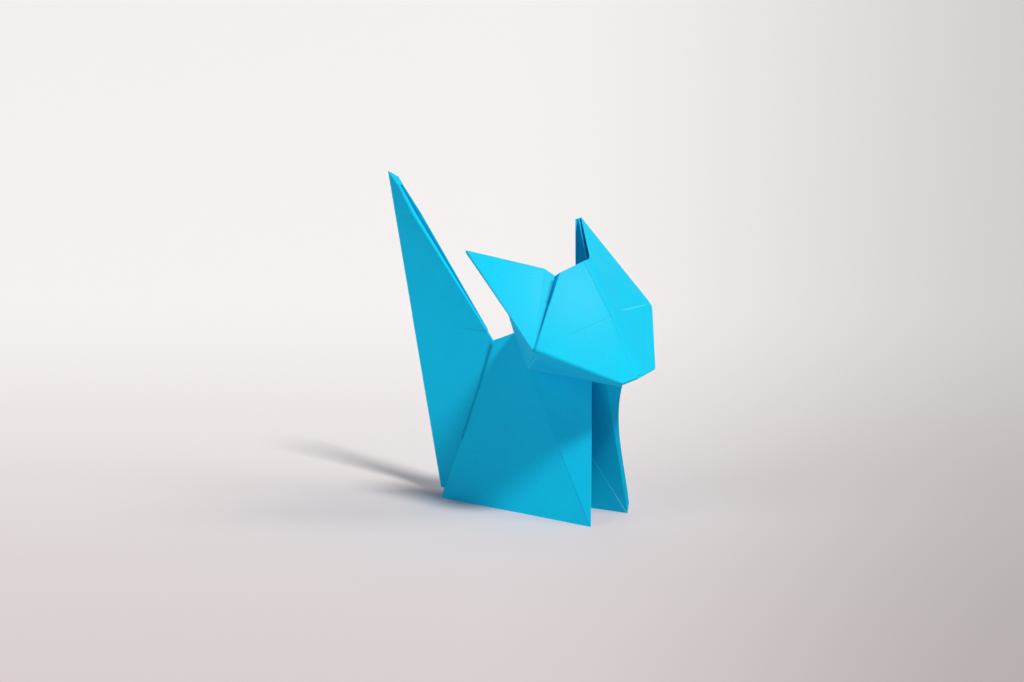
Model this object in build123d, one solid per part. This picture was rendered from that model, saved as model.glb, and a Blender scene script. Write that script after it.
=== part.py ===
from build123d import *
import os

os.makedirs("parts", exist_ok=True)

# A sitting cat folded from one square of blue paper, in millimetres.
# X runs forward along the cat, Y to its left and Z up. It is drawn from a point on the
# table midway between the front feet, and set over the middle of its own plan at the end.

# Paper: a facet is two to four layers of the sheet pressed together
sheet = 0.3
fold_radius_share = 0.56  # radius of a pressed fold, as a share of the sheet
fold_sides = 8  # flats round a pressed fold
table_overrun = 0.6  # how far the sides run below the table before they are trimmed level
table_share = 2.5  # size of the block that trims them, as a share of what it has to cover

# Body sides: two tall facets that share the fold along the back
foot_spread = 13.1  # from the middle plane to a front foot
rump_spread = 7.9  # from the middle plane to a rear corner
body_length = 75.6  # from the front feet back to the rear corners
back_end_setback = 54.9  # rear end of the back fold, behind the feet
back_end_height = 65.3
nape_setback = 45.0  # front end of the back fold, where the neck begins
nape_height = 69.3
collar_share = 0.811  # height of the collar on the front crease, from foot to nape

# Front legs: facets folded inward from the front creases
throat_reach = 4.3  # where the collar edges meet under the chin, ahead of the feet
throat_height = 53.6
right_leg_share = 0.70  # top of the right leg's inner edge, from collar to throat
left_leg_setback = 4.2  # top of the left leg's inner edge, behind the feet
left_leg_spread = 4.2
left_leg_height = 52.8
lip_reach = 1.2  # top of the strip turned out of the left leg, ahead of the feet
lip_spread = 7.0
lip_height = 52.2
lip_drop_shares = (0.15, 0.5, 0.92)  # places down the strip's free edge, which curves in
lip_width_shares = (0.6, 0.26, 0.2)  # its width at those places, as shares of that at the top

# Head: its own frame stands above the collar, rolled and turned a little as folded by hand
head_setback = 11.7
head_height = 80.0
head_roll = 3.4
head_turn = -1.9
face_brow_reach = 1.2  # top of the face bend, ahead of the head's centre
face_brow_rise = 21.6
face_brow_offset = 3.2  # the bend leans over towards the cat's left at the brow
chin_reach = 26.6
chin_drop = 21.4
chin_offset = 1.1  # and to its right at the chin
chin_side_reach = 24.6
right_chin_spread = 12.1
right_chin_drop = 22.1
left_chin_spread = 14.9
left_chin_drop = 20.9
cheek_reach = 4.9
right_cheek_spread = 39.7
right_cheek_drop = 5.6
left_cheek_spread = 38.6  # folded a little higher and narrower on its left side
left_cheek_drop = 3.5
brow_corner_setback = 1.9
brow_corner_spread = 12.5
brow_corner_rise = 18.5

# Ears: tips swept back and out, with a wall behind each one down to the nape
ear_tip_setback = 27.2
ear_tip_spread = 37.1
ear_tip_rise = 29.3
ear_root_setback = 5.7  # inner corner of the right ear, beside the pleat
ear_root_spread = 17.2
ear_root_rise = 20.6
wall_top_setback = 21.8
wall_top_spread = 25.0
right_wall_rise = 15.4
left_wall_rise = 12.0
right_ear_back = Vector(-0.8, 0.6, -0.7)  # from an ear's tip to the tip of its rear wall
left_ear_back = Vector(-2.7, 0, -0.9)  # the left ear stands open
lining_depth_share = 0.5  # where the layer folded inside an ear stands between the two
lining_root_share = 0.22  # and at its root, on the way from the front facet to the rear wall

# Pleat between the right ear and the face, left standing open
pleat_width = 2.3
pleat_depth = 6.0
pleat_bottom_share = 0.5  # where its bottom lies across its width
pleat_set_back = 1.0  # the ear's side of the pleat lies this far behind the face

# Tail: a long point folded in half, its fold at the back and its edges to the front
tail_tip_setback = 106.9
tail_tip_height = 129.2
tail_nose_reach = 4.2  # front corner of the blunt tip, ahead of the tip
tail_nose_drop = 2.2
tail_foot_setback = 81.5
tail_foot_height = 2.0
tail_foot_width = 12.0  # from the back fold to the front edge, low down between the sides
tail_tuck_reach = 0.8  # where the front edge passes between the sides, ahead of their end
tail_tuck_drop = 1.3
tail_pinch_rise = 3.7  # above the sides' end: there the rolled edge ends
tail_press_rise = 6.7  # below it the two halves are pressed into one layer
tail_pressed = 0.7  # thickness of that layer, which runs down between the sides
tail_pressed_setback = 0.3  # its front edge lies this far behind that of the left half
tail_rise_shares = (0.948, 0.76, 0)  # neck, swell and pinch, from the pinch up to the nose
tail_rolls = (0.6, 0.95, 0.35)  # radius of the right half's rolled edge at those three
tail_gaps = (0.9, 1.6, 0.1)  # air between that roll and the left half
tail_leads = (1.0, 1.9, 0.6)  # how far the left half's edge stands ahead of the right one's
tail_hem_share = 0.3  # how far the rolled edge runs back inside, of the tail's width


def mirrored(point):
    return Vector(point.X, -point.Y, point.Z)


def between(start, end, share):
    return start + (end - start) * share


def onto(point, a, b, c):
    """The point dropped onto the plane of three others, so that a facet stays flat."""
    normal = (b - a).cross(c - a).normalized()
    return point - normal * (point - a).dot(normal)


def facet(*corners):
    """A flat piece of paper centred on its corners."""
    outline = Wire.make_polygon(corners, close=True)
    return extrude(Face(outline), sheet / 2, both=True)


def fold(a, b):
    """The pressed back of a fold, or the soft edge of a layer."""
    along = b - a
    section = Plane(origin=a, z_dir=along) * RegularPolygon(sheet * fold_radius_share, fold_sides)
    return extrude(section, along.length)


def join(facets, folds):
    return [facet(*corners) for corners in facets] + [fold(*ends) for ends in folds]


# Points of the cat's right side, and its left side mirrors them unless it has its own
foot = Vector(0, -foot_spread, 0)
rump = Vector(-body_length, -rump_spread, 0)
back_end = Vector(-back_end_setback, 0, back_end_height)
nape = Vector(-nape_setback, 0, nape_height)
collar = between(foot, nape, collar_share)
throat = Vector(throat_reach, 0, throat_height)
right_leg_top = between(collar, throat, right_leg_share)
left_leg_top = Vector(-left_leg_setback, left_leg_spread, left_leg_height)
lip_top = Vector(lip_reach, lip_spread, lip_height)

head = Pos(-head_setback, 0, head_height) * Rot(head_roll, 0, head_turn)


def on_head(forward, side, up):
    return (head * Pos(forward, side, up)).position


brow = on_head(face_brow_reach, face_brow_offset, face_brow_rise)
chin = on_head(chin_reach, -chin_offset, -chin_drop)
right_cheek = on_head(cheek_reach, -right_cheek_spread, -right_cheek_drop)
left_cheek = on_head(cheek_reach, left_cheek_spread, -left_cheek_drop)
right_brow = on_head(-brow_corner_setback, -brow_corner_spread, brow_corner_rise)
right_brow = onto(right_brow, brow, chin, right_cheek)
right_chin = on_head(chin_side_reach, -right_chin_spread, -right_chin_drop)
right_chin = onto(right_chin, brow, chin, right_cheek)
left_chin = on_head(chin_side_reach, left_chin_spread, -left_chin_drop)
left_chin = onto(left_chin, brow, chin, left_cheek)
right_ear = on_head(-ear_tip_setback, -ear_tip_spread, ear_tip_rise)
left_ear = on_head(-ear_tip_setback, ear_tip_spread, ear_tip_rise)
right_root = on_head(-ear_root_setback, -ear_root_spread, ear_root_rise)
right_wall = on_head(-wall_top_setback, -wall_top_spread, right_wall_rise)
left_wall = on_head(-wall_top_setback, wall_top_spread, left_wall_rise)

tail_tip = Vector(-tail_tip_setback, 0, tail_tip_height)
tail_nose = tail_tip + Vector(tail_nose_reach, 0, -tail_nose_drop)
tail_tuck = back_end + Vector(tail_tuck_reach, 0, -tail_tuck_drop)
tail_pinch_height = back_end_height + tail_pinch_rise


def body_sides():
    facets = []
    folds = [(back_end, nape)]
    for side in (lambda point: point, mirrored):
        low_foot = side(foot) - Vector(0, 0, table_overrun)
        low_rump = side(rump) - Vector(0, 0, table_overrun)
        facets.append((low_rump, low_foot, back_end))
        facets.append((low_foot, nape, back_end))
        folds.append((side(rump), back_end))
        folds.append((side(foot), side(collar)))
        folds.append((side(collar), nape))
    return join(facets, folds)


def right_leg():
    facets = [(foot, collar, right_leg_top)]
    folds = [(foot, right_leg_top), (collar, right_leg_top)]
    return join(facets, folds)


def left_leg():
    facets = [(mirrored(foot), mirrored(collar), left_leg_top)]
    folds = [(mirrored(foot), left_leg_top), (mirrored(collar), left_leg_top)]
    return join(facets, folds) + [turned_out_strip()]


def turned_out_strip():
    """The narrow strip ahead of the left leg's inner edge, with a hollow free edge."""
    left_foot = mirrored(foot)
    across = lip_top - left_leg_top
    free = [lip_top]
    for drop, width in zip(lip_drop_shares, lip_width_shares):
        free.append(between(left_leg_top, left_foot, drop) + across * width)
    sides = [Line(free[-1], left_foot), Line(left_foot, left_leg_top), Line(left_leg_top, lip_top)]
    return extrude(Face(Wire([Spline(*free)] + sides)), sheet / 2, both=True)


def neck_and_throat():
    facets = []
    folds = [(chin, throat), (nape, right_wall), (nape, left_wall)]
    right = (collar, right_cheek, right_chin, right_wall)
    left = (mirrored(collar), left_cheek, left_chin, left_wall)
    for side_collar, cheek, chin_corner, wall in (right, left):
        facets += [(side_collar, cheek, throat), (cheek, chin_corner, throat)]
        facets += [(chin_corner, chin, throat)]
        facets += [(nape, side_collar, cheek), (nape, wall, cheek)]
        folds += [(side_collar, cheek), (side_collar, throat), (cheek, throat)]
        folds += [(chin_corner, throat), (wall, cheek), (nape, cheek)]
    return join(facets, folds)


def face():
    facets = [(brow, right_brow, right_cheek, right_chin, chin), (brow, left_cheek, left_chin, chin)]
    folds = [(right_brow, brow), (right_brow, right_cheek), (right_cheek, right_chin)]
    folds += [(right_chin, chin), (chin, left_chin), (left_chin, left_cheek), (brow, chin)]
    return join(facets, folds)


def pleat():
    """The open pleat at the right edge of the face: two walls that meet behind it."""
    forward = (right_cheek - brow).cross(chin - brow).normalized()
    outward = (right_brow - brow).normalized()
    rim = right_brow + outward * pleat_width - forward * pleat_set_back
    bottom = right_brow + outward * pleat_width * pleat_bottom_share - forward * pleat_depth
    facets = [(right_root, rim, right_cheek), (rim, bottom, right_cheek)]
    facets += [(bottom, right_brow, right_cheek)]
    folds = [(right_root, rim), (rim, right_cheek), (rim, bottom), (bottom, right_brow)]
    return join(facets, folds)


def ear(tip, rear_tip, root, cheek, wall):
    """Front facet, rear wall, the thick folded edge between them and the layer inside."""
    inner_tip = between(tip, rear_tip, lining_depth_share)
    inner_root = between(root, wall, lining_root_share)
    facets = [(tip, root, cheek), (tip, rear_tip, cheek)]
    facets += [(rear_tip, wall, cheek), (inner_tip, inner_root, cheek)]
    folds = [(tip, root), (root, cheek), (tip, cheek), (tip, rear_tip), (rear_tip, cheek)]
    folds += [(rear_tip, wall), (inner_tip, inner_root)]
    return join(facets, folds)


def tail_back(height):
    """The tail's fold at a height, in plan."""
    share = (tail_tip_height - height) / (tail_tip_height - tail_foot_height)
    return -tail_tip_setback + (tail_tip_setback - tail_foot_setback) * share


def tail_front(height):
    """The left half's straight front edge at a height, from between the sides to the nose."""
    share = (height - tail_tuck.Z) / (tail_nose.Z - tail_tuck.Z)
    return between(tail_tuck, tail_nose, share).X


def tail_rolled_section(height, roll, gap, lead):
    """The right half: from the fold at the back, round the rolled edge and back inside."""
    half = sheet / 2
    back = tail_back(height)
    front = tail_front(height) - lead
    wall = -roll - gap / 2
    hem = wall + 2 * roll
    end = front - (front - back) * tail_hem_share
    outline = [
        Line((back, -half), (front, wall - half)),
        ThreePointArc((front, wall - half), (front + roll + half, wall + roll), (front, hem + half)),
        Line((front, hem + half), (end, hem + half)),
        Line((end, hem + half), (end, hem - half)),
        Line((end, hem - half), (front, hem - half)),
        ThreePointArc((front, hem - half), (front + roll - half, wall + roll), (front, wall + half)),
        Line((front, wall + half), (back, half)),
        Line((back, half), (back, -half)),
    ]
    return Pos(0, 0, height) * Face(Wire(outline))


def tail_plain_section(height, wall):
    """The left half: one flat layer from the fold at the back to its front edge."""
    half = sheet / 2
    back = tail_back(height)
    front = tail_front(height)
    corners = [(back, -half), (front, wall - half), (front, wall + half), (back, half)]
    return Pos(0, 0, height) * Face(Wire.make_polygon(corners, close=True))


def pressed_tail():
    """The two halves pressed flat against each other, down between the sides."""
    press_height = back_end_height + tail_press_rise
    corners = [Vector(tail_back(tail_foot_height) + tail_foot_width, 0, tail_foot_height)]
    for height in (tail_tuck.Z, press_height):
        corners.append(Vector(tail_front(height) - tail_pressed_setback, 0, height))
    for height in (press_height, tail_foot_height):
        corners.append(Vector(tail_back(height), 0, height))
    outline = Wire.make_polygon(corners, close=True)
    return extrude(Face(outline), tail_pressed / 2, both=True)


def tail():
    heights = []
    for share in tail_rise_shares:
        heights.append(tail_pinch_height + (tail_nose.Z - tail_pinch_height) * share)
    walls = [roll + gap / 2 for roll, gap in zip(tail_rolls, tail_gaps)]
    right = []
    for place in zip(heights, tail_rolls, tail_gaps, tail_leads):
        right.append(tail_rolled_section(*place))
    left = [tail_plain_section(height, wall) for height, wall in zip(heights, walls)]
    solids = [loft(right, ruled=True), loft(left, ruled=True), pressed_tail()]

    neck, neck_wall, neck_lead = heights[0], walls[0], tail_leads[0]
    neck_back = Vector(tail_back(neck), 0, neck)
    neck_left = Vector(tail_front(neck), neck_wall, neck)
    neck_right = Vector(tail_front(neck) - neck_lead, -neck_wall, neck)
    nose = tail_nose + Vector(0, neck_wall, 0)
    foot_of_fold = Vector(-tail_foot_setback, 0, tail_foot_height)
    facets = [(tail_tip, neck_back, neck_right), (tail_tip, neck_back, neck_left)]
    facets += [(tail_tip, neck_left, nose), (tail_tip, nose, neck_right)]
    facets += [(nose, neck_left, neck_right)]
    folds = [(tail_tip, foot_of_fold), (tail_tip, nose), (nose, neck_right)]
    folds += [(tail_tip, neck_right), (nose, neck_left)]
    return solids + join(facets, folds)


def united(solids):
    return solids[0].fuse(*solids[1:])


right_side_ear = ear(right_ear, right_ear + right_ear_back, right_root, right_cheek, right_wall)
left_side_ear = ear(left_ear, left_ear + left_ear_back, brow, left_cheek, left_wall)
groups = [body_sides(), right_leg(), left_leg(), neck_and_throat(), face(), pleat()]
groups += [right_side_ear, left_side_ear, tail()]
cat = united([united(group) for group in groups])

# Trim the sides level with the table, and set the cat over the middle of its own plan
box = cat.bounding_box()
table = Box(box.size.X * table_share, box.size.Y * table_share, table_overrun * table_share)
cat = cat - Pos(box.center().X, box.center().Y, -table_overrun * table_share / 2) * table
cat = Pos(-(box.min.X + box.max.X) / 2, -(box.min.Y + box.max.Y) / 2, 0) * cat

export_step(cat, "parts/folded_sheet.step")
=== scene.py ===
import math
from collections import namedtuple

import bmesh
import bpy
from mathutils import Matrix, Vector


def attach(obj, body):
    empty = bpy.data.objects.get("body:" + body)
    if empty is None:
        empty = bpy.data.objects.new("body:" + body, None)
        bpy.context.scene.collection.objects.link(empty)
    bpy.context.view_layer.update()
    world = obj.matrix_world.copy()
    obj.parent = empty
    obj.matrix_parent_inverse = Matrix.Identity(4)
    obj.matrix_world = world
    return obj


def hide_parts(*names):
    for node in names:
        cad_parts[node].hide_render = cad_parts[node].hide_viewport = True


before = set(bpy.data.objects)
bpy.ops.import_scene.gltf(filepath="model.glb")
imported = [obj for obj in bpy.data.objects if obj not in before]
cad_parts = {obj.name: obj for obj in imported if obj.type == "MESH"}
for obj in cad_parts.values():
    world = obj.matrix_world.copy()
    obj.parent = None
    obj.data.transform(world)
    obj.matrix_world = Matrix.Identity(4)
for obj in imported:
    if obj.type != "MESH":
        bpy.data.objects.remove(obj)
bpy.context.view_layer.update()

# Everything is in metres. +X is the way the cat faces, +Y its left side and +Z up.
MM = 0.001
FEET_MIDDLE = Vector((46.0, 0.46, 0.0)) * MM  # midway between the front feet, on the table

Lamp = namedtuple("Lamp", "turn rise spread level colour")
PaintedLine = namedtuple("PaintedLine", "start end out half_width strength tint")
Noise = namedtuple("Noise", "scale detail roughness")


def in_frame(x, y, z):
    """A point given in millimetres from the middle of the front feet."""
    return FEET_MIDDLE + Vector((x, y, z)) * MM


# Camera, at the photograph's viewing angle
VIEW_TURN = math.radians(34.38)
VIEW_RISE = math.radians(11.0)
VIEW_DISTANCE = 1.0149
VIEW_TARGET = in_frame(-23.4, 0.0, 58.5)
LENS_MM = 91.5
SENSOR_MM = 36.0
SHIFT_RIGHT = -0.0465
SHIFT_UP = 0.0243

# Lamps: turn from the cat's nose towards its left, rise and spread in degrees, level, colour
LAMPS = {
    "key": Lamp(-22.0, 53.0, 10.0, 0.84, (1.0, 1.0, 0.88)),
    "front": Lamp(23.0, 38.0, 20.0, 0.24, (1.0, 1.0, 0.86)),
    "left_fill": Lamp(90.0, 50.0, 90.0, 0.25, (0.96, 0.98, 0.95)),
    "right_fill": Lamp(-118.0, 24.0, 45.0, 0.245, (0.78, 0.95, 1.0)),
}
ROOM_COLOUR = (1.0, 1.0, 1.0, 1.0)
ROOM_LEVEL = 0.03

# Paper colours, linear. The wear tone is also a painted highlight on folds; the crease tones are
# painted shade and painted highlight.
PAPER_BLUE = (0.0, 0.58, 0.88, 1.0)
PAPER_DEEP = (0.0, 0.50, 0.86, 1.0)
PAPER_WEAR_AND_HIGHLIGHT = (0.10, 0.66, 0.93, 1.0)
CREASE_PAINTED_SHADE = (0.0, 0.25, 0.50, 1.0)
CREASE_PAINTED_HIGHLIGHT = (0.12, 0.70, 0.94, 1.0)

# Paper fibre: a fine grain, longer clumps and a slow drift of the dye, with their shares
GRAIN = Noise(2600.0, 3.0, 0.65)
CLUMPS = Noise(700.0, 4.0, 0.6)
DRIFT = Noise(45.0, 3.0, 0.5)
GRAIN_SHARE = 0.45
CLUMPS_SHARE = 0.3
DRIFT_SHARE = 0.25
TONE_DEEP = 0.35
TONE_BLUE = 0.65
FIBRE_HEIGHT = 0.02 * MM
BUMP_STRENGTH = 0.6
BUMP_DISTANCE = 1.0

# Wear and painted highlight on folds and cut edges. It starts and is full at these cosines of the
# surface's turn.
WEAR_AND_HIGHLIGHT_WIDTH = 0.35 * MM
WEAR_AND_HIGHLIGHT_SAMPLES = 6
WEAR_AND_HIGHLIGHT_STARTS_AT = 0.99
WEAR_AND_HIGHLIGHT_FULL_AT = 0.80
WEAR_AND_HIGHLIGHT_THIN_CLUMPS = 0.3
WEAR_AND_HIGHLIGHT_THICK_CLUMPS = 0.6
WEAR_AND_HIGHLIGHT_LEAST = 0.35
WEAR_AND_HIGHLIGHT_MOST = 0.9
WEAR_AND_HIGHLIGHT_STRENGTH = 0.22

# Sheen: roughness of the fibres, and the rubbed patch at the top of the face
SHEEN_TONE_LOW = 0.38
SHEEN_TONE_HIGH = 0.62
ROUGHNESS_LOW = 0.27
ROUGHNESS_HIGH = 0.43
RUBBED_AT = in_frame(-6.0, -10.0, 90.0)
RUBBED_REACH = 45.0 * MM
UNRUBBED_ROUGHNESS = 0.40
PAPER_SPECULAR = 0.15

# Directions that the pressed panels look in, square to them
FACE_OUT = Vector((0.856, -0.047, 0.515))
SIDE_OUT = Vector((-0.068, -0.988, 0.141))
LIP_OUT = Vector((-0.068, -0.437, -0.897))

# Ends and bends of the creases and of the painted shadow lines
FACE_TOP = in_frame(-11.1, -1.4, 100.8)
FACE_CROSSING = in_frame(1.2, -1.0, 80.8)
FACE_LOW = in_frame(6.3, -2.0, 71.7)
FACE_FOOT = in_frame(14.5, -4.0, 59.0)
RIGHT_CHEEK = in_frame(-8.1, -39.4, 72.0)
RIGHT_FACE = in_frame(-3.9, -21.6, 76.2)
LEFT_FACE = in_frame(-0.4, 9.8, 81.4)
LEFT_FACE_EDGE = in_frame(-6.9, 40.1, 79.0)
LEFT_LINE_TOP = in_frame(-4.6, 30.7, 79.2)
LEFT_LINE_FOOT = in_frame(10.2, 8.5, 64.3)
PLEAT_TOP = in_frame(-13.9, -17.6, 95.2)
PLEAT_MIDDLE = in_frame(-12.1, -24.0, 88.2)
SIDE_EDGE_TOP = in_frame(-56.3, -0.9, 63.0)
SIDE_EDGE_LOW = in_frame(-67.5, -5.0, 26.0)
SIDE_EDGE_FOOT = in_frame(-76.0, -8.0, 2.0)
NECK_CREASE_TOP = in_frame(-13.2, -30.2, 67.9)
NECK_CREASE_FOOT = in_frame(-35.9, -3.7, 56.7)
LIP_BACK = in_frame(-34.7, -4.7, 57.1)
LIP_FRONT = in_frame(6.8, -8.8, 56.0)

# Half widths of the painted lines
THIN = 0.34 * MM
BROAD = 0.40 * MM
LIP_LINE = 0.55 * MM
PLEAT_WIDE = 1.30 * MM
PLEAT_NARROW = 0.85 * MM
SIDE_GAP_WIDE = 1.90 * MM
SIDE_GAP_NARROW = 1.30 * MM

# Painted lines, dark for painted shade and shadow, pale for painted highlight: start, end, the
# way the pressed panel looks, half width, strength, colour
PAINTED_LINES = (
    # Painted shade in the face's creases; the pale line across the left face is a painted
    # highlight
    PaintedLine(FACE_TOP, FACE_CROSSING, FACE_OUT, THIN, 0.50, CREASE_PAINTED_SHADE),
    PaintedLine(FACE_CROSSING, FACE_LOW, FACE_OUT, THIN, 0.32, CREASE_PAINTED_SHADE),
    PaintedLine(FACE_LOW, FACE_FOOT, FACE_OUT, THIN, 0.12, CREASE_PAINTED_SHADE),
    PaintedLine(RIGHT_CHEEK, RIGHT_FACE, FACE_OUT, THIN, 0.10, CREASE_PAINTED_SHADE),
    PaintedLine(RIGHT_FACE, FACE_CROSSING, FACE_OUT, THIN, 0.28, CREASE_PAINTED_SHADE),
    PaintedLine(LEFT_FACE, LEFT_FACE_EDGE, FACE_OUT, BROAD, 0.50, CREASE_PAINTED_HIGHLIGHT),
    PaintedLine(LEFT_LINE_TOP, LEFT_LINE_FOOT, FACE_OUT, BROAD, 0.12, CREASE_PAINTED_SHADE),
    # Painted shadow in the pleat beside the face
    PaintedLine(PLEAT_TOP, PLEAT_MIDDLE, FACE_OUT, PLEAT_WIDE, 0.95, CREASE_PAINTED_SHADE),
    PaintedLine(PLEAT_MIDDLE, RIGHT_CHEEK, FACE_OUT, PLEAT_NARROW, 0.90, CREASE_PAINTED_SHADE),
    # Painted shadow in the gap between the side panel's rear edge and the tail
    PaintedLine(SIDE_EDGE_TOP, SIDE_EDGE_LOW, SIDE_OUT, SIDE_GAP_WIDE, 0.95, CREASE_PAINTED_SHADE),
    PaintedLine(SIDE_EDGE_LOW, SIDE_EDGE_FOOT, SIDE_OUT, SIDE_GAP_NARROW, 0.40, CREASE_PAINTED_SHADE),
    # Painted highlights on the neck crease and on the lip's fold edge
    PaintedLine(NECK_CREASE_TOP, NECK_CREASE_FOOT, LIP_OUT, THIN, 0.50, CREASE_PAINTED_HIGHLIGHT),
    PaintedLine(LIP_BACK, LIP_FRONT, LIP_OUT, LIP_LINE, 0.55, CREASE_PAINTED_HIGHLIGHT),
)
CREASE_REACH = 4.0 * MM  # how deep under its panel a painted line still shows on the layers
CREASE_FADE = 4.0 * MM
CREASE_PRESS = 0.08 * MM

# Ends of the soft folds, on the outer surface
BROW = in_frame(-10.3, 1.9, 101.8)
CHIN_PEAK = in_frame(14.9, -0.7, 58.6)
LEFT_CHEEK = in_frame(-5.4, 38.6, 78.9)
LOWER_EDGE_BACK = in_frame(-7.9, -39.6, 71.9)
LOWER_EDGE_FRONT = in_frame(12.1, -11.5, 56.7)
CHIN_MIDDLE = in_frame(15.0, -0.7, 58.4)
CHIN_LEFT = in_frame(11.4, 14.8, 58.6)

# Directions that the soft folds look in, midway between their two panels
EAR_FOLD_OUT = Vector((0.765, 0.263, 0.587))
LOWER_EDGE_OUT = Vector((0.657, -0.662, -0.360))
RIGHT_CHIN_OUT = Vector((0.924, -0.212, -0.318))
LEFT_CHIN_OUT = Vector((0.920, 0.219, -0.324))

# Soft folds: start, end, the way the fold looks, half the turn in degrees, radius in mm
SOFT_FOLDS = (
    (BROW, CHIN_PEAK, FACE_OUT, 14.8, 14.0),
    (BROW, LEFT_CHEEK, EAR_FOLD_OUT, 8.9, 22.0),
    (LOWER_EDGE_BACK, LOWER_EDGE_FRONT, LOWER_EDGE_OUT, 55.9, 1.3),
    (LOWER_EDGE_FRONT, CHIN_MIDDLE, RIGHT_CHIN_OUT, 48.8, 0.6),
    (CHIN_MIDDLE, CHIN_LEFT, LEFT_CHIN_OUT, 48.3, 0.6),
)
FOLD_STRIPS = 7  # on each side of the fold
FOLD_DEPTH = 1.5 * MM  # layers down to here move with the fold
FOLD_LEVEL = 0.75 * MM  # faces down to here are shaded as one curve
FOLD_FADE = 1.5 * MM
FOLD_END = 1.5 * MM
FOLD_SKIN = 0.12 * MM
SHARP_TURN = math.radians(18.0)
TOUCHING = 0.001 * MM  # points this close are one point

# Floor colours, linear, and the painted fall-off of light on it
FLOOR_NEAR = (0.635, 0.560, 0.620, 1.0)
FLOOR_FAR = (0.845, 0.800, 0.870, 1.0)
FLOOR_ROUGHNESS = 0.8
FLOOR_SPECULAR = 0.15
FLOOR_DIM_SHARE = 0.34
FLOOR_HALF = 7.0
FLOOR_FADE_START = -0.3
FLOOR_FADE_END = 0.5
FLOOR_DIM_START = -0.02
FLOOR_DIM_END = 0.24
FLOOR_DIM_NEAREST = 0.75
FLOOR_AWAY = Vector((-math.sin(VIEW_TURN), math.cos(VIEW_TURN), 0.0))
FLOOR_ASIDE = Vector((math.cos(VIEW_TURN), math.sin(VIEW_TURN), 0.0))


class Nodes:
    """Short calls that add shader nodes to one material and link them."""

    def __init__(self, tree):
        self.tree = tree

    def add(self, kind, **settings):
        node = self.tree.nodes.new(kind)
        for name, value in settings.items():
            setattr(node, name, value)
        return node

    def put(self, socket, value):
        if isinstance(value, bpy.types.NodeSocket):
            self.tree.links.new(value, socket)
        else:
            socket.default_value = value

    def math(self, operation, a, b=0.0):
        node = self.add("ShaderNodeMath", operation=operation)
        self.put(node.inputs[0], a)
        self.put(node.inputs[1], b)
        return node.outputs[0]

    def vector(self, operation, a, b=(0.0, 0.0, 0.0)):
        node = self.add("ShaderNodeVectorMath", operation=operation)
        self.put(node.inputs[0], a)
        if operation == "SCALE":
            self.put(node.inputs["Scale"], b)
        else:
            self.put(node.inputs[1], b)
        name = "Value" if operation in ("DOT_PRODUCT", "LENGTH") else "Vector"
        return node.outputs[name]

    def noise(self, place, kind):
        node = self.add("ShaderNodeTexNoise")
        self.put(node.inputs["Vector"], place)
        self.put(node.inputs["Scale"], kind.scale)
        self.put(node.inputs["Detail"], kind.detail)
        self.put(node.inputs["Roughness"], kind.roughness)
        return node.outputs["Fac"]

    def spread(self, value, low, high, to_low=0.0, to_high=1.0):
        node = self.add("ShaderNodeMapRange", interpolation_type="SMOOTHSTEP")
        self.put(node.inputs["Value"], value)
        self.put(node.inputs["From Min"], low)
        self.put(node.inputs["From Max"], high)
        self.put(node.inputs["To Min"], to_low)
        self.put(node.inputs["To Max"], to_high)
        return node.outputs["Result"]

    def mix(self, share, a, b):
        node = self.add("ShaderNodeMix", data_type="RGBA")
        self.put(node.inputs["Factor"], share)
        self.put(node.inputs["A"], a)
        self.put(node.inputs["B"], b)
        return node.outputs["Result"]


def painted_line_mask(nodes, place, crease):
    """1 on the painted line, seen the way its panel looks, and 0 at its half width from it."""
    offset = nodes.vector("SUBTRACT", place, crease.start)
    depth = nodes.vector("DOT_PRODUCT", offset, crease.out)
    flat = nodes.vector("SUBTRACT", offset, nodes.vector("SCALE", crease.out, depth))
    line = crease.end - crease.start
    line = line - crease.out * line.dot(crease.out)
    along = line.normalized()
    travel = nodes.vector("DOT_PRODUCT", flat, along)
    travel = nodes.math("MINIMUM", nodes.math("MAXIMUM", travel, 0.0), line.length)
    foot = nodes.vector("SCALE", along, travel)
    gap = nodes.vector("LENGTH", nodes.vector("SUBTRACT", flat, foot))
    deepest = CREASE_REACH + CREASE_FADE
    near = nodes.spread(nodes.math("ABSOLUTE", depth), CREASE_REACH, deepest, 1.0, 0.0)
    return nodes.math("MULTIPLY", near, nodes.spread(gap, 0.0, crease.half_width, 1.0, 0.0))


def wear_and_highlight_mask(nodes, clumps):
    """Wear and painted highlight on folds: strongest where the surface turns within the mark's
    width, and patchy along it.
    """
    soft = nodes.add("ShaderNodeBevel", samples=WEAR_AND_HIGHLIGHT_SAMPLES)
    nodes.put(soft.inputs["Radius"], WEAR_AND_HIGHLIGHT_WIDTH)
    plain = nodes.add("ShaderNodeNewGeometry").outputs["Normal"]
    turn = nodes.vector("DOT_PRODUCT", soft.outputs["Normal"], plain)
    wear_and_highlight = nodes.spread(turn, WEAR_AND_HIGHLIGHT_STARTS_AT, WEAR_AND_HIGHLIGHT_FULL_AT)
    patches = nodes.spread(clumps, WEAR_AND_HIGHLIGHT_THIN_CLUMPS, WEAR_AND_HIGHLIGHT_THICK_CLUMPS, WEAR_AND_HIGHLIGHT_LEAST, WEAR_AND_HIGHLIGHT_MOST)
    return nodes.math("MULTIPLY", wear_and_highlight, patches)


def paper_roughness(nodes, place, tone):
    """Rougher where the fibres stand up, and smoother at the rubbed top of the face."""
    reach = nodes.vector("LENGTH", nodes.vector("SUBTRACT", place, RUBBED_AT))
    matt = nodes.spread(reach, 0.0, RUBBED_REACH, 0.0, UNRUBBED_ROUGHNESS)
    fibre = nodes.spread(tone, SHEEN_TONE_LOW, SHEEN_TONE_HIGH, ROUGHNESS_LOW, ROUGHNESS_HIGH)
    return nodes.math("ADD", fibre, matt)


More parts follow.
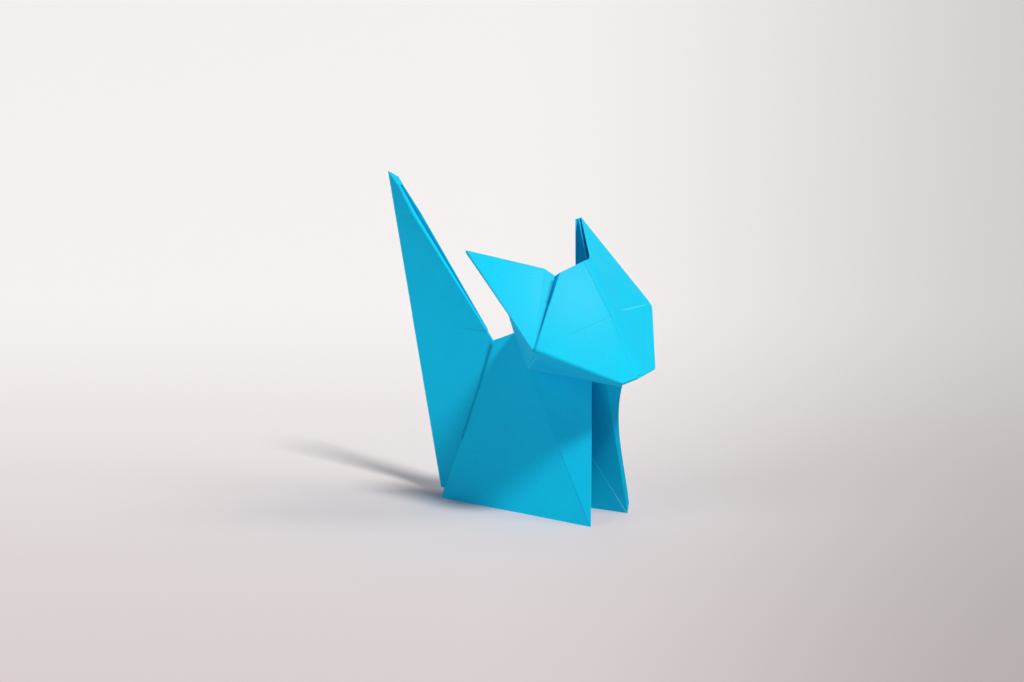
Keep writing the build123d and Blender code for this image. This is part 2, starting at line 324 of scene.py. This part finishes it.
def paper_material():
    """Blue paper with fibres, wear and painted highlights on its folds, creases pressed in and
    opened again, and painted shade, shadow and highlight lines.
    """
    material = bpy.data.materials.new("blue_paper")
    material.use_nodes = True
    nodes = Nodes(material.node_tree)
    shader = material.node_tree.nodes["Principled BSDF"]
    place = nodes.add("ShaderNodeTexCoord").outputs["Object"]

    grain = nodes.noise(place, GRAIN)
    clumps = nodes.noise(place, CLUMPS)
    tone = nodes.math("MULTIPLY", grain, GRAIN_SHARE)
    tone = nodes.math("ADD", tone, nodes.math("MULTIPLY", clumps, CLUMPS_SHARE))
    tone = nodes.math("ADD", tone, nodes.math("MULTIPLY", nodes.noise(place, DRIFT), DRIFT_SHARE))
    colour = nodes.mix(nodes.spread(tone, TONE_DEEP, TONE_BLUE), PAPER_DEEP, PAPER_BLUE)
    wear_and_highlight = nodes.math("MULTIPLY", wear_and_highlight_mask(nodes, clumps), WEAR_AND_HIGHLIGHT_STRENGTH)
    # Painted highlight on the folds, mixed with real wear
    colour = nodes.mix(wear_and_highlight, colour, PAPER_WEAR_AND_HIGHLIGHT)

    height = nodes.math("MULTIPLY", grain, FIBRE_HEIGHT)
    height = nodes.math("ADD", height, nodes.math("MULTIPLY", clumps, FIBRE_HEIGHT))
    for crease in PAINTED_LINES:
        mask = painted_line_mask(nodes, place, crease)
        depth = nodes.math("MULTIPLY", mask, CREASE_PRESS * crease.strength)
        height = nodes.math("SUBTRACT", height, depth)
        share = nodes.math("MULTIPLY", mask, crease.strength)
        # Mixes in each painted line's tone: dark ones paint shade and shadow, pale ones paint
        # highlights
        colour = nodes.mix(share, colour, crease.tint)
    bump = nodes.add("ShaderNodeBump")
    nodes.put(bump.inputs["Strength"], BUMP_STRENGTH)
    nodes.put(bump.inputs["Distance"], BUMP_DISTANCE)
    nodes.put(bump.inputs["Height"], height)

    nodes.put(shader.inputs["Base Color"], colour)
    nodes.put(shader.inputs["Normal"], bump.outputs["Normal"])
    nodes.put(shader.inputs["Roughness"], paper_roughness(nodes, place, tone))
    nodes.put(shader.inputs["Specular IOR Level"], PAPER_SPECULAR)
    return material


def floor_material():
    """A pale floor with painted light: brighter away from the view and dimmer towards one side.
    """
    material = bpy.data.materials.new("pale_floor")
    material.use_nodes = True
    nodes = Nodes(material.node_tree)
    shader = material.node_tree.nodes["Principled BSDF"]
    place = nodes.add("ShaderNodeTexCoord").outputs["Object"]
    away = nodes.vector("DOT_PRODUCT", place, FLOOR_AWAY)
    aside = nodes.vector("DOT_PRODUCT", place, FLOOR_ASIDE)
    # Painted light: the floor brightens away from the view and dims towards one side
    far = nodes.spread(away, FLOOR_FADE_START, FLOOR_FADE_END)
    lit = nodes.mix(far, FLOOR_NEAR, FLOOR_FAR)
    depth = nodes.math("MAXIMUM", nodes.math("ADD", away, VIEW_DISTANCE), FLOOR_DIM_NEAREST)
    dim = nodes.spread(nodes.math("DIVIDE", aside, depth), FLOOR_DIM_START, FLOOR_DIM_END)
    left = nodes.math("SUBTRACT", 1.0, nodes.math("MULTIPLY", dim, FLOOR_DIM_SHARE))
    nodes.put(shader.inputs["Base Color"], nodes.vector("SCALE", lit, left))
    nodes.put(shader.inputs["Roughness"], FLOOR_ROUGHNESS)
    nodes.put(shader.inputs["Specular IOR Level"], FLOOR_SPECULAR)
    return material


class SoftFold:
    """A fold between two flat panels, rounded to a radius instead of a sharp edge."""

    def __init__(self, start, end, out, half_turn, radius):
        self.start = start
        self.length = (end - start).length
        self.along = (end - start).normalized()
        self.out = (out - self.along * out.dot(self.along)).normalized()
        self.across = self.out.cross(self.along)
        self.half_turn = math.radians(half_turn)
        self.radius = radius * MM
        self.reach = self.radius * math.sin(self.half_turn)

    def measure(self, point):
        """Offset across the fold, depth under its panels and travel along it."""
        away = point - self.start
        offset = away.dot(self.across)
        depth = -away.dot(self.out) - abs(offset) * math.tan(self.half_turn)
        return offset, depth, away.dot(self.along)

    def beyond(self, travel):
        """How far a place along the fold lies past its ends."""
        return max(-travel, travel - self.length, 0.0)

    def holds(self, corners):
        """Whether a face with these corners crosses the fold's strip."""
        offsets, depths, travels = zip(*(self.measure(point) for point in corners))
        beside = min(offsets) < self.reach and max(offsets) > -self.reach
        within = max(travels) > -FOLD_END and min(travels) < self.length + FOLD_END
        return beside and within and min(depths) < FOLD_DEPTH + FOLD_FADE

    def cut(self, work):
        """Cuts the faces along lines beside the fold, so that they can be bent."""
        for step in range(-FOLD_STRIPS, FOLD_STRIPS + 1):
            faces = [face for face in work.faces if self.holds([v.co for v in face.verts])]
            edges = {edge for face in faces for edge in face.edges}
            points = {point for face in faces for point in face.verts}
            bmesh.ops.bisect_plane(
                work, geom=faces + list(edges) + list(points), dist=TOUCHING,
                plane_co=self.start + self.across * (self.reach * step / FOLD_STRIPS),
                plane_no=self.across,
            )

    def move_in(self, point):
        """How far a point moves in, against the way the fold looks."""
        offset, depth, travel = self.measure(point)
        beyond = self.beyond(travel)
        if abs(offset) >= self.reach or beyond > FOLD_END:
            return 0.0
        peak = self.radius / math.cos(self.half_turn) - abs(offset) * math.tan(self.half_turn)
        move = peak - math.sqrt(self.radius ** 2 - offset ** 2)
        if abs(depth) < FOLD_SKIN:
            move -= depth
        share = 1.0 - min(max((depth - FOLD_DEPTH) / FOLD_FADE, 0.0), 1.0)
        return share * (1.0 - beyond / FOLD_END) * move

    def bend(self, work):
        """Cuts the fold's strip, shades it as one curve and moves its points in."""
        self.cut(work)
        for face in work.faces:
            offset, depth, travel = self.measure(face.calc_center_median())
            level = abs(offset) < self.reach and abs(depth) < FOLD_LEVEL
            face.smooth = face.smooth or (level and self.beyond(travel) < FOLD_END)
        for point in work.verts:
            point.co = point.co - self.out * self.move_in(point.co)


def add_object(name, data):
    made = bpy.data.objects.new(name, data)
    bpy.context.scene.collection.objects.link(made)
    return made


def add_cat():
    """The folded sheet with its soft folds rounded and the rest left flat."""
    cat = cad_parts["folded_sheet"]
    work = bmesh.new()
    work.from_mesh(cat.data)
    work.transform(cat.matrix_world)
    bmesh.ops.remove_doubles(work, verts=work.verts, dist=TOUCHING)
    for face in work.faces:
        face.smooth = False
    for values in SOFT_FOLDS:
        SoftFold(*values).bend(work)
    bmesh.ops.triangulate(work, faces=work.faces[:])
    for edge in work.edges:
        edge.smooth = len(edge.link_faces) == 2 and edge.calc_face_angle(0.0) < SHARP_TURN
    mesh = bpy.data.meshes.new("paper_cat")
    work.to_mesh(mesh)
    work.free()
    mesh.materials.append(paper_material())
    piece = add_object("paper_cat", mesh)
    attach(piece, "root")
    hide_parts("folded_sheet")


def add_floor():
    low = -FLOOR_HALF
    high = FLOOR_HALF
    corners = [(low, low, 0), (high, low, 0), (high, high, 0), (low, high, 0)]
    mesh = bpy.data.meshes.new("floor")
    mesh.from_pydata(corners, [], [(0, 1, 2, 3)])
    mesh.materials.append(floor_material())
    floor = add_object("floor", mesh)


def direction(turn, rise):
    """A unit vector at this turn from the cat's nose towards its left, and this rise."""
    flat = math.cos(rise)
    return Vector((flat * math.cos(turn), flat * math.sin(turn), math.sin(rise)))


def add_sun(name, values):
    """A sun at which a white face turned to it shows the lamp's level."""
    lamp = bpy.data.lights.new(name, "SUN")
    lamp.energy = values.level * math.pi
    lamp.angle = math.radians(values.spread)
    lamp.color = values.colour
    sun = add_object(name, lamp)
    sun.rotation_mode = "QUATERNION"
    towards = direction(math.radians(values.turn), math.radians(values.rise))
    sun.rotation_quaternion = towards.to_track_quat("Z", "Y")


def add_room():
    world = bpy.data.worlds.new("room")
    world.use_nodes = True
    background = world.node_tree.nodes["Background"]
    background.inputs["Color"].default_value = ROOM_COLOUR
    background.inputs["Strength"].default_value = ROOM_LEVEL
    bpy.context.scene.world = world


def add_camera():
    data = bpy.data.cameras.new("camera")
    data.sensor_width = SENSOR_MM
    data.lens = LENS_MM
    data.shift_x = SHIFT_RIGHT
    data.shift_y = SHIFT_UP
    camera = add_object("camera", data)
    back = direction(VIEW_TURN - math.pi / 2, VIEW_RISE)
    camera.location = VIEW_TARGET + back * VIEW_DISTANCE
    camera.rotation_mode = "QUATERNION"
    camera.rotation_quaternion = (-back).to_track_quat("-Z", "Y")
    bpy.context.scene.camera = camera


add_camera()
add_cat()
add_floor()
for lamp_name, lamp_values in LAMPS.items():
    add_sun(lamp_name, lamp_values)
add_room()
bpy.context.scene.view_settings.view_transform = "Standard"
